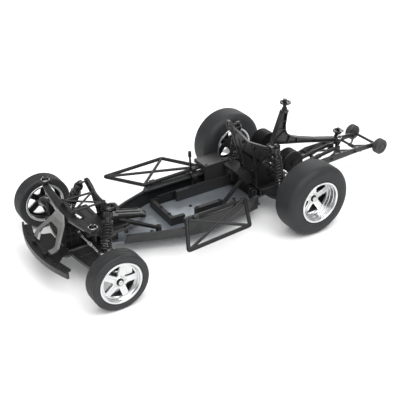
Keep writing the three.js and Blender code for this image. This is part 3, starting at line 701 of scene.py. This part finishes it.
def shocks():
    for end, shock in SHOCKS.items():
        top, bottom = at(*shock["top"]), at(*shock["bottom"])
        along = (bottom - top).normalized()
        rod = tube([top + along * (shock["body"] - 3) * MM, bottom - along * 3 * MM], 1.5, 16)
        pivot = gathered(ball(top, 2.4, FRONT), torus(top + along * 3.9 * MM, along, 4.6, 0.55))
        barrel, shaft = f"{end}_shock_body", f"{end}_shock_shaft"
        pair(f"{end}_shock_barrel", shock_body(shock, top, bottom - top), SHOCK, barrel, [barrel],
             bevel=0.12)
        pair(f"{end}_shock_pivot", pivot, STEEL, barrel, bevel=None)
        pair(f"{end}_shock_rod", rod, STEEL, shaft, [shaft], bevel=0.1)
        pair(f"{end}_shock_foot", shock_foot(shock, top, bottom - top), SHOCK, shaft, bevel=0.15)


springs()
shocks()


# ---- links
LINKS = {
    "front_camber_link": ((6, 22, 62), (4, 90, 62)),
    "tie_rod": ((-34, 26, 44), (-16, 97, 45)),
    "rear_camber_link": ((REAR_X + 10, 24, 76), (REAR_X + 4, 86, 76)),
}


def links():
    """Turnbuckles: a steel rod with a hexagon in the middle, screwed into black ball cups."""
    for name, ends in LINKS.items():
        start, end = at(*ends[0]), at(*ends[1])
        along = (end - start).normalized()
        middle = (start + end) / 2
        rod = tube([start + along * 5 * MM, end - along * 5 * MM], 1.55, 14)
        nut = prism(hexagon(2.5), middle, along, -4.5, 4.5)
        cups, studs = Shape(), Shape()
        for place, inward in ((start, along), (end, -along)):
            cups.join(ball(place, 3.35, UP))
            cups.join(lathe([(2.6, 1.5), (2.5, 7.5), (2.2, 9.5), (1.7, 9.9)], place, inward, 16))
            studs.join(lathe([(2.1, 2.4), (2.1, 3.4), (1, 3.7)], place, UP, 16))
        pair(f"{name}_rod", rod.join(nut, studs), STEEL, name, [name], bevel=0.12)
        pair(f"{name}_cups", cups, BLACK, name, bevel=0.15)


links()


# ---- suspension arms
ARMS = {
    "front": {"x": (-26, 22), "pin": 17, "tip": 85, "middle": 0, "foot": SHOCKS["front"]["bottom"]},
    "rear": {"x": (REAR_X - 24, REAR_X + 28), "pin": 24, "tip": 86, "middle": REAR_X,
             "foot": SHOCKS["rear"]["bottom"]},
}
ARM_Z = 33


def arm_shape(arm):
    """An A-arm: raised rim, thin web, crossed ribs, hinge barrel, fork and shock post."""
    (x0, x1), pin, tip, middle = arm["x"], arm["pin"], arm["tip"], arm["middle"]
    outline = [(x1, pin), (x1 - 2, pin + 22), (middle + 13, tip - 6), (middle - 13, tip - 6),
               (x0 + 2, pin + 22), (x0, pin)]
    shape = framed_plate(outline, ARM_Z - 2.5, ARM_Z + 2.5, "xy", rim=2.6, web=1.8)
    for start, end in (((x0 + 3, pin + 2), (middle + 9, tip - 8)),
                       ((x1 - 3, pin + 2), (middle - 9, tip - 8)),
                       ((x0 + 3, pin + 22), (x1 - 3, pin + 22)),
                       ((middle - 11, tip - 18), (middle + 11, tip - 18))):
        shape.join(slat((*start, ARM_Z), (*end, ARM_Z), 0.9, 2.1))
    hinge = [(1.7, x0), (3.4, x0), (3.6, x0 + 0.4), (3.6, x1 - 0.4), (3.4, x1), (1.7, x1)]
    shape.join(lathe(hinge, at(0, pin, ARM_Z), FRONT, 24, closed=True))
    for low, high in ((8.3, 13), (-13, -8.3)):
        shape.join(block((middle + low, tip - 8, ARM_Z - 2.5), (middle + high, tip, ARM_Z + 2.5)))
        shape.join(lathe([(3.6, middle + low), (3.6, middle + high)], at(0, tip, ARM_Z), FRONT, 24))
    x, y, z = arm["foot"]
    shape.join(lathe([(4, ARM_Z - 1), (3.6, ARM_Z + 3.4), (2.6, z - 4.3)], at(x, y, 0), UP, 20))
    return shape


def arms():
    for end, arm in ARMS.items():
        middle, tip, front = arm["middle"], arm["tip"], arm["x"][1]
        hinge = at(0, arm["pin"], ARM_Z)
        pins = gathered(screw((middle + 13, tip, ARM_Z), FRONT, 2.3, 1),
                        screw((middle - 13, tip, ARM_Z), -FRONT, 2.3, 1),
                        lathe([(1.6, front - 1), (1.6, front + 0.1)], hinge, FRONT, 12))
        pair(f"{end}_arm_moulded", arm_shape(arm), BLACK, f"{end}_arm", [f"{end}_arm"], bevel=0.35)
        pair(f"{end}_arm_pins", pins, SCREW, f"{end}_arm", bevel=0.1)


arms()


# ---- side frames
SIDE_FRAME = {"corners": ((-147, 63, 53), (-110, 127.5, 49.5), (-216, 125.5, 54), (-253, 62, 56)),
              "tube": 3, "brace": 2.3}


def side_frames():
    corners = [at(*corner) for corner in SIDE_FRAME["corners"]]
    loop = tube(rounded_path(corners, 3.5), SIDE_FRAME["tube"], 14, closed=True)
    for i, k in ((0, 2), (1, 3)):
        inward = (corners[k] - corners[i]).normalized() * 3 * MM
        loop.join(tube([corners[i] + inward, corners[k] - inward], SIDE_FRAME["brace"], 12))
    clamps = Shape()
    for x, y, z in ((-162, 64, 53.4), (-238, 62.3, 55.6)):
        clamps.join(block((x - 4, y - 4, 50.1), (x + 4, y + 3.4, z + 1)),
                    lathe([(4.3, x - 4), (4.3, x + 4)], at(0, y - 0.4, z), FRONT, 20))
    pair("side_frame_bars", loop, BLACK_MATT, "chassis", ["side_frame"], bevel=None)
    pair("side_frame_clamps", clamps, BLACK, "chassis", bevel=0.5)


side_frames()


# ---- towers
FRONT_TOWER_X, REAR_TOWER_X = -42.2, REAR_X + 36.5


def towers():
    front = symmetric([(0, 88.5), (20, 93), (28, 99.5), (40, 105), (49, 104), (50, 98), (42, 93),
                       (28, 84), (15, 66), (11, 50), (11, 38.3), (0, 38.3)])
    holes = [arc(1.6, 0, 330, 11, (y, 97)) for y in (33, -33)]
    body = framed_plate(front, FRONT_TOWER_X - 2.2, FRONT_TOWER_X + 2.2, "yz", 2.2, 1.8, holes)
    x = FRONT_TOWER_X
    for y, z, top in ((9, 60, 84), (22, 84, 92)):
        body.join(both(slat((x, y, z), (x, y * 0.4, top), 1.9, 0.8, hint=LEFT)))
    body.join(both(lathe([(5.2, -2.2), (5.2, 2.2)], at(x, 45, 100), FRONT, 24)))
    body.join(both(lathe([(2.2, 2), (1.5, 4.5), (1.5, 7.5)], at(x, 45, 100.6), FRONT, 16)))
    finish_piece("front_tower", body, BLACK, ["front_shock_tower"], bevel=0.4)
    rear = symmetric([(0, 113.5), (44, 123), (52, 128.5), (60, 128), (62.5, 120), (58, 114),
                      (47, 110), (30, 86), (23, 74), (20, 62.5), (0, 62.5)])
    holes = [arc(1.5, 0, 330, 11, (y, 115.5)) for y in (-40, -32, 32, 40)]
    x = REAR_TOWER_X
    body = framed_plate(rear, x - 1.9, x + 1.9, "yz", 2.2, 1.6, holes)
    for start, end in (((8, 64), (28, 108)), ((24, 76), (6, 112)), ((0, 90), (33, 92)),
                       ((32, 92), (48, 121)), ((40, 106), (36, 119))):
        body.join(both(slat((x, *start), (x, *end), 1.8, 0.8, hint=LEFT)))
    body.join(both(lathe([(5, -2.6), (5, 2.6)], at(x, 50, 121.4), FRONT, 24)))
    body.join(both(lathe([(2.4, -9.6), (1.5, -6.5), (1.5, 0)], at(x, 50, 122), FRONT, 16)))
    finish_piece("rear_tower", body, BLACK, ["rear_shock_tower"], bevel=0.35)


towers()


# ---- front body mount
BEAM_STATIONS = ((82, 4, 14, 94, 99), (66, 7.5, 17, 92.5, 98.5), (20, 7.5, 19.6, 85.2, 91),
                 (0, 7.5, 19.6, 84.2, 90))


def knurled_washer(x, y, z):
    bore = [arc(5.6, 0, 345, 23, (x, y))]
    return plate(toothed(9, 0.6, 26, (x, y)), z, z + 2.4, "xy", bore).join(
        lathe([(1.2, z), (5.9, z), (5.9, z + 0.96), (1.2, z + 0.96)], at(x, y, 0), UP, 24))


def body_clip(centre, axis, radius, wire, start, end, thick=0.5):
    """A wire ring and the pin it is bent from."""
    return torus(at(*centre), axis, radius, wire).join(bar(start, end, thick))


def front_mount():
    stations = list(BEAM_STATIONS) + [(-y, *rest) for y, *rest in reversed(BEAM_STATIONS[:3])]
    verts = []
    c = 1.1  # the chamfer on the beam's long edges
    for y, x0, x1, z0, z1 in stations:
        verts += [at(x, y, z) for x, z in ((x0 + c, z0), (x1 - c, z0), (x1, z0 + c), (x1, z1 - c),
                                           (x1 - c, z1), (x0 + c, z1), (x0, z1 - c), (x0, z0 + c))]
    beam = Shape().add(verts, ring_faces(len(stations), 8))
    post = lathe([(3.6, 94), (3, 98.8), (3, 99.8), (2.7, 103), (2.7, 105.8), (2.2, 106.4)],
                 at(9.2, 78.4, 0), UP, 24)
    beam.join(both(post, knurled_washer(9.2, 78.4, 100.1)))
    for y in (17, -17):
        beam.join(bar((9, y, 96.5), (-38, y, 96.5), 1.6), bar((8, y, 96.5), (-36, -y, 96.5), 1.5))
        for x in (9.8, -37.8):
            beam.join(lathe([(3.1, 92.8), (3.1, 97.6), (2.7, 98)], at(x, y, 0), UP, 20))
        beam.join(block((7.9, y - 2.4, 88.5), (11.8, y + 2.4, 95)))
    for x in (-38, 9.5):
        beam.join(bar((x, 17, 96.5), (x, -17, 96.5), 1.6))
    finish_piece("front_mount_beam", beam, BLACK, ["front_body_crossbar"], bevel=0.3)
    edge = both(slat((16.6, 66, 92.9), (19.3, 21, 85.7), 0.55, 0.6, 0.2))
    web = slat((14.2, 62, 88.8), (16.4, 25, 82.8), 0.6, 0.6, 0.2)
    for y in (26 + 7.6 * k for k in range(5)):
        x, z = 19 - 0.06 * (y - 20), 84.9 + 0.159 * (y - 20)
        for top in ((x, y, z), (x, y + 7.6, z + 1.2)):
            web.join(slat(top, (x - 2.6, y + 3.8, z - 3), 0.5, 0.6, 0.2))
    finish_piece("front_mount_edge", edge, BRACE, bevel=0.15)
    finish_piece("front_mount_truss", both(web), BLACK, bevel=0.15)
    clips = both(body_clip((9.2, 78.4, 103), UP, 5.9, 0.5, (9.2, 72, 104), (9.2, 86.5, 104)))
    finish_piece("front_mount_clips", clips, STEEL, bevel=None)


front_mount()


# ---- rear body mount and wheelie bar
def rear_mount():
    profile = [(-349, 97.5), (-350.5, 107), (-366.4, 151), (-375.4, 151), (-372.6, 126),
               (-373.2, 118), (-376.5, 111.5), (-383, 105.6), (-392, 100.8), (-405, 95.6),
               (-440, 84.8), (-486, 73.6), (-486, 67.2), (-440, 77.6), (-409, 85), (-380, 91),
               (-363, 94.8)]
    shape = framed_plate(profile, -5, 5, "xz", rim=1.7, web=3)
    for x0, z0, x1, z1 in ((-356, 104, -375, 116), (-360, 122, -372, 118),
                           (-362.6, 136, -373.6, 132), (-400, 88, -399, 96),
                           (-440, 78, -441, 84.4), (-380, 93, -384, 104)):
        shape.join(slat((x0, 0, z0), (x1, 0, z1), 0.8, 4.2, hint=LEFT))
    for x, post, washer, collar in (
            (-371.6, [(4.4, 150), (4.4, 155), (3, 156), (3, 169.4), (2.4, 170.4)],
             (-372.6, 0, 163), [(6.2, 147), (7, 148), (7, 150.6), (6.2, 151.4)]),
            (-491.5, [(2.7, 49.6), (2.7, 60), (5.9, 60.4), (5.9, 75.4), (4.6, 76.4), (2.7, 77),
                      (2.6, 89), (2.1, 89.8)],
             (-491.5, 0, 83.1), [(5, 78.4), (5.6, 79), (5.6, 81.4), (5, 82)])):
        shape.join(lathe(post, at(x, 0, 0), UP, 24), knurled_washer(*washer),
                   lathe(collar, at(x, 0, 0), UP, 28))
    finish_piece("rear_mount_arm", shape, BLACK, ["rear_body_mount"], bevel=0.35)
    clips = gathered(
        body_clip((-372, -9, 167.4), (0, 0.2, 1), 3.6, 0.55, (-372, -6, 167.4), (-372, 7, 167)),
        body_clip((-492, 9.4, 87.2), (0, 0.2, 1), 3.4, 0.55, (-492, 6, 87.2), (-492, -7, 87.2)),
        body_clip((-487.7, 9, 77), (0.6, 0.75, 0.2), 3.3, 0.85, (-489, 6.4, 76), (-491.5, 2, 73.5),
                  0.7))
    finish_piece("rear_mount_clips", clips, STEEL, bevel=None)


WHEELIE = (REAR_X - 220, 34.4, 50.8)  # the left roller's middle


def wheelie_bar():
    x, y, z = WHEELIE
    stations = ((-562, 24.9, 50.8, 4.2), (-510, 24.9, 51.4, 4.8), (-443, 24.9, 49.7, 6),
                (-391, 20, 43.4, 3.6))
    verts = [at(sx, sy + u, sz + v) for sx, sy, sz, half in stations
             for u, v in rounded_section(1.9, half, 1.2)]
    rail = Shape().add(verts, ring_faces(len(stations), len(verts) // len(stations)))
    rail.join(lathe([(4.2, 22.6), (4.6, 23.2), (4.6, 26.8), (4.2, 27.2)], at(x, 0, z), sides=24))
    for boss in (-458, -474, -510):
        rail.join(lathe([(2.6, 22.6), (2.6, 27.2)], at(boss, 0, 50.4), sides=16))
    rail.join(bar((-528, 3, 47), (-555, 24, 49), 1.9), bar((-493, 3, 47), (-524, 24, 48.5), 1.9),
              bar((-489, 4, 47), (-442, 24, 47), 1.9), bar((-394, 5, 43), (-436, 24, 48), 2.2))
    shape = both(rail)
    strut = [(2.8, 0), (3.4, 2), (3.4, 44), (4.1, 45), (4.1, 52), (3.2, 54), (3.2, 82), (2.4, 86)]
    for side in (8, -8):
        shape.join(lathe(strut, at(-396, side, 45), (-86, 0, 12), 20),
                   block((-491.5, side - 1.4, 46.2), (-479.4, side + 1.4, 58.8)))
    for rung in (-440, -491.5, -526):
        shape.join(bar((rung, -25, 47), (rung, 25, 47), 2.2, 14),
                   lathe([(3.4, -5), (3.4, 5)], at(rung, 0, 47), sides=18))
    shape.join(bar((-393, -21, 43), (-393, 21, 43), 3.5, 18),
               bar((-560, -23, 50.8), (-560, 23, 50.8), 2.4, 18),
               block((-393.5, -6.8, 38.2), (-372.6, 6.8, 45.8)))
    finish_piece("wheelie_ladder", shape, BLACK, ["wheelie_bar"], bevel=0.3)
    nuts = [prism(hexagon(3), at(x, 0, z), LEFT, low, high)
            for low, high in ((27.2, 28.6), (39.95, 40))]
    axle = gathered(bar((x, -39.6, z), (x, 39.6, z), 1.9, 16), both(*nuts))
    finish_piece("wheelie_axle", axle, DARK_STEEL, bevel=0.15)
    tread = [(2.6, 5.2), (4.6, 5.2), (5, 4.2), (8, 4.2), (8.6, 5.4), (12.3, 5.4), (13.3, 4.4),
             (13.3, 1.3), (12.5, 0.9)]
    roller = lathe(tread + other_side(tread), at(*WHEELIE), sides=48, closed=True)
    pair("wheelie_roller", roller, ROLLER, "wheelie_wheel", ["wheelie_wheel"], bevel=0.2,
         origin=at(*WHEELIE))


rear_mount()
wheelie_bar()


# ---- gear cover
GEAR, PINION = (-358, 87), (-346, 78)  # x and z of the gear's and the pinion's middles
MOTOR = (-366, 74)
OUTDRIVE_Z = 57.2


def gear_cover():
    (x, z), (px, pz) = GEAR, PINION
    shell = lathe([(15, -43.6), (18.4, -42.8), (19.2, -41.2), (19.2, -20.2), (19.9, -19.6),
                   (19.9, -16.9)], at(x, 0, z), sides=56)
    bulge = lathe([(7, -40), (9.4, -39.2), (9.9, -37.6), (9.9, -16.9)], at(px, 0, pz), sides=36)
    cap = lathe([(5, -43.9), (6.6, -43.9), (7.2, -43.2), (7.2, -42.4), (5, -42.4)], at(x, 0, z),
                sides=32, closed=True)
    ribs = [slat((x + 8 * c, -43.4, z + 8 * s), (x + 17 * c, -43.1, z + 17 * s), 0.6, 0.5, 0.15,
                 hint=LEFT) for c, s in arc(1, 10, 325, 7)]
    finish_piece("gear_shell", gathered(shell, bulge, cap, *ribs), DULL, ["gear_cover"],
                 bevel=0.35)


gear_cover()


# ---- screws and small fittings on the chassis
def gearbox_details():
    """Ribs, side covers, end bells and the motor's can."""
    shape = Shape()
    for x in (-356, -344, -332, -320):
        shape.join(block((x - 0.7, -15, 76), (x + 0.7, 15, 79.2)))
    for z in (40, 48, 56, 64):
        shape.join(block((-309.4, -14, z - 0.7), (-307.6, 14, z + 0.7)))
    for side in (LEFT, -LEFT):
        shape.join(lathe([(9.5, 14), (9.5, 17.2), (8.6, 18)], at(REAR_X, 0, OUTDRIVE_Z), side, 36),
                   lathe([(6.6, 17), (6.6, 21), (5.6, 21.6)], at(REAR_X, 0, OUTDRIVE_Z), side, 28))
    x, z = MOTOR
    shape.join(torus(at(x, 34.6, z), LEFT, 19, 0.7))
    finish_piece("gearbox_ribs", shape, BLACK, bevel=0.3)
    can = lathe([(17.2, 15.6), (19.2, 16.6), (19.2, 34.4), (18.6, 34.8), (18.6, 35.4), (19.1, 35.8),
                 (18, 38.2), (6, 38.6), (6, 39.8), (3, 40.2)], at(x, 0, z), sides=56)
    finish_piece("motor_can", can, DULL, bevel=0.25)


def chassis_screws():
    front_face, rear_face = FRONT_TOWER_X + 2.2, REAR_TOWER_X + 1.9
    paired = (
        (UP, ((-176, 58.5, 50), (-204, 58, 50), (-252, 56.5, 50), (-154, 60, 50), (57, 18.7, 47.5),
              (-66, 27, 50), (-122, 24, 32), (-14, 19, 55), (-368, 12, 29.5), (-304, 17, 29.5),
              (22, 14, 38), (-52, 6, 64.7), (-100, 40, 24), (-125, 40, 24), (50, 63, 42),
              (54.5, 46, 42), (9.8, 17, 98), (-37.8, 17, 98))),
        (FRONT, ((front_face, 7, 76), (front_face, 7, 66), (front_face, 33, 97), (-27.8, 45, 100.6),
                 (rear_face, 50, 121.4), (rear_face, 14, 108), (rear_face, 14, 68))),
        (-FRONT, ((REAR_X + 19.8, 50, 122), (-368, 6, 58), (-368, 9, 40))),
        (LEFT, ((-458, 27.2, 50.4), (-510, 27.2, 50.4))),
    )
    single = (
        (UP, ((-294.7, -7.3, 62), (-294.7, -36, 62), (-111.7, 21.5, 24), (-54, 4.7, 64.4),
              (-285, -72, 65), (-254, -47, 65), (-285, -47, 65), (-193, 21.5, 40), (-234, 21.5, 40),
              (-148, -12, 38), (-148, 12, 38), (-230, -45, 53), (-294, 20, 41), (-294, 27, 41),
              (-491.5, 0, 49.2), (-270, 10, 24), (-200, -10, 24))),
        (-LEFT, ((GEAR[0], -43.9, GEAR[1]), (PINION[0], -40, PINION[1]))),
    )
    shape = Shape()
    for groups, signs in ((paired, (1, -1)), (single, (1,))):
        for axis, places in groups:
            for place in places:
                for sign in signs:
                    shape.join(screw(mirror_y(place, sign), mirror_y(axis, sign)))
    finish_piece("chassis_screws", shape, SCREW, bevel=None)


def fittings():
    """Aerial mast, box lid, tray ribs, nose ribs and bumper pads."""
    mast = lathe([(4, 0), (4, 3.4), (2.6, 5), (1.7, 6.4), (1.7, 31), (2.6, 32), (2.7, 40.4),
                  (1.9, 41)], at(-230, -56, 52), (2, 0, 36), 20)
    lid = framed_plate([(-289.6, -75.6), (-249.4, -75.6), (-249.4, -43), (-289.6, -43)], 64.6, 65.8,
                       "xy", 1.6, 0.6)
    ribs = Shape()
    for x in (-200, -216, -232, -248):
        ribs.join(block((x - 0.6, -42, 26), (x + 0.6, -38.2, 41.4)))
    for y in (-8.5, 0, 8.5):
        ribs.join(slat((-64, y, 62.5), (-105, y, 51.2), 0.6, 0.7, 0.2))
    for x in (-22, -34):
        ribs.join(both(block((x - 0.6, 14, 60.3), (x + 0.6, 46, 61.6))))
    for y in (-22, 22):
        ribs.join(block((-72, y - 0.6, 49.8), (-48, y + 0.6, 51.2)))
    for x in (-6, 4, 14, 23):
        ribs.join(both(slat((x, 11, 39), (x, 11.6 if x else 12.4, 70), 0.8, 1.2, 0.3, hint=LEFT)))
    for z in (48, 58):
        ribs.join(both(slat((-8, 11.4, z), (24, 10.8, z), 0.7, 1.1, 0.3)))
    for y in (-30, -20, 20, 30):
        ribs.join(slat((-74, y, 50), (-46, y, 50), 0.8, 0.9, 0.3))
    ribs.join(both(block((-297.5, 26.4, 21.2), (-291.3, 43, 24))))
    pads = both(lathe([(3.8, 42), (3.8, 46.6), (3.2, 47.6), (2, 47.9)], at(57, 18.7, 0), UP, 24))
    finish_piece("tray_fittings", gathered(mast, lid, ribs, pads), BLACK, bevel=0.25)


gearbox_details()
chassis_screws()
fittings()


# ---- CAD nodes kept as they are
CAD_LOOKS = {
    "chassis_plate": (FLOOR, 0.4), "front_brace": (BRACE, 0.6), "side_guard": (GUARD, 0.6),
    "electronics_tray": (BLACK_MATT, 0.4), "rear_deck": (BLACK_MATT, 0.4),
    "driveshaft": (DARK_STEEL, 0.2),
}


def dress_cad():
    """Gives each CAD node that still shows its procedural material and rounded edges."""
    for name, node in frame["nodes"].items():
        stem = name.removesuffix("_left").removesuffix("_right")
        material, bevel = CAD_LOOKS.get(stem, (BLACK, 0.4))
        for spot in node.material_slots:
            spot.material = material
        if not node.hide_render:
            soften(node, bevel)


dress_cad()


# ---- floor, light and camera
def studio_material(name, colour):
    material, nodes, links = node_tree(name)
    shader = nodes["Principled BSDF"]
    put(shader, Roughness=0.9)
    place = nodes.new("ShaderNodeTexCoord").outputs["Object"]
    tint = ramp(nodes, links, noise(nodes, links, place, 3.0), shade(colour, 0.995), colour)
    links.new(tint.outputs["Color"], shader.inputs["Base Color"])
    return material


def studio():
    size = 60.0
    mesh = bpy.data.meshes.new("studio_floor")
    mesh.from_pydata([(-size, -size, 0), (size, -size, 0), (size, size, 0), (-size, size, 0)], [],
                     [(0, 1, 2, 3)])
    floor = bpy.data.objects.new("studio_floor", mesh)
    floor.data.materials.append(studio_material("studio_white", (0.93, 0.93, 0.93)))
    bpy.context.scene.collection.objects.link(floor)
    world = bpy.data.worlds.new("studio_world")
    world.use_nodes = True
    put(world.node_tree.nodes["Background"], Color=(1, 1, 1, 1), Strength=0.42)
    bpy.context.scene.world = world
    for name, kind, place, power, width in (
            ("sky", "SUN", (0.25, 0.35, 1.0), 2.9, math.radians(80)),
            ("key", "AREA", (-0.2, 0.9, 1.5), 9, 0.9),
            ("back", "AREA", (-1.2, -1.2, 1.0), 10, 0.9)):
        light = bpy.data.lights.new(name, kind)
        light.energy = power
        if kind == "SUN":
            light.angle = width
        else:
            light.size = width
        lamp = bpy.data.objects.new(name, light)
        lamp.location = place
        lamp.rotation_mode = "QUATERNION"
        lamp.rotation_quaternion = (-Vector(place)).to_track_quat("-Z", "Y")
        bpy.context.scene.collection.objects.link(lamp)


CAMERA = {"place": (0.63111, 0.90952, 0.66915), "azimuth": 147.04, "elevation": 30.28,
          "lens": 71.96}


def camera():
    azimuth, elevation = math.radians(CAMERA["azimuth"]), math.radians(CAMERA["elevation"])
    back = Vector((math.sin(azimuth) * math.cos(elevation),
                   -math.cos(azimuth) * math.cos(elevation), math.sin(elevation)))
    data = bpy.data.cameras.new("camera")
    data.lens = CAMERA["lens"]
    data.sensor_width = 36
    data.clip_start, data.clip_end = 0.01, 200
    eye = bpy.data.objects.new("camera", data)
    eye.location = CAMERA["place"]
    eye.rotation_mode = "QUATERNION"
    eye.rotation_quaternion = (-back).to_track_quat("-Z", "Y")
    bpy.context.scene.collection.objects.link(eye)
    bpy.context.scene.camera = eye


studio()
camera()
bpy.context.scene.view_settings.view_transform = "Standard"
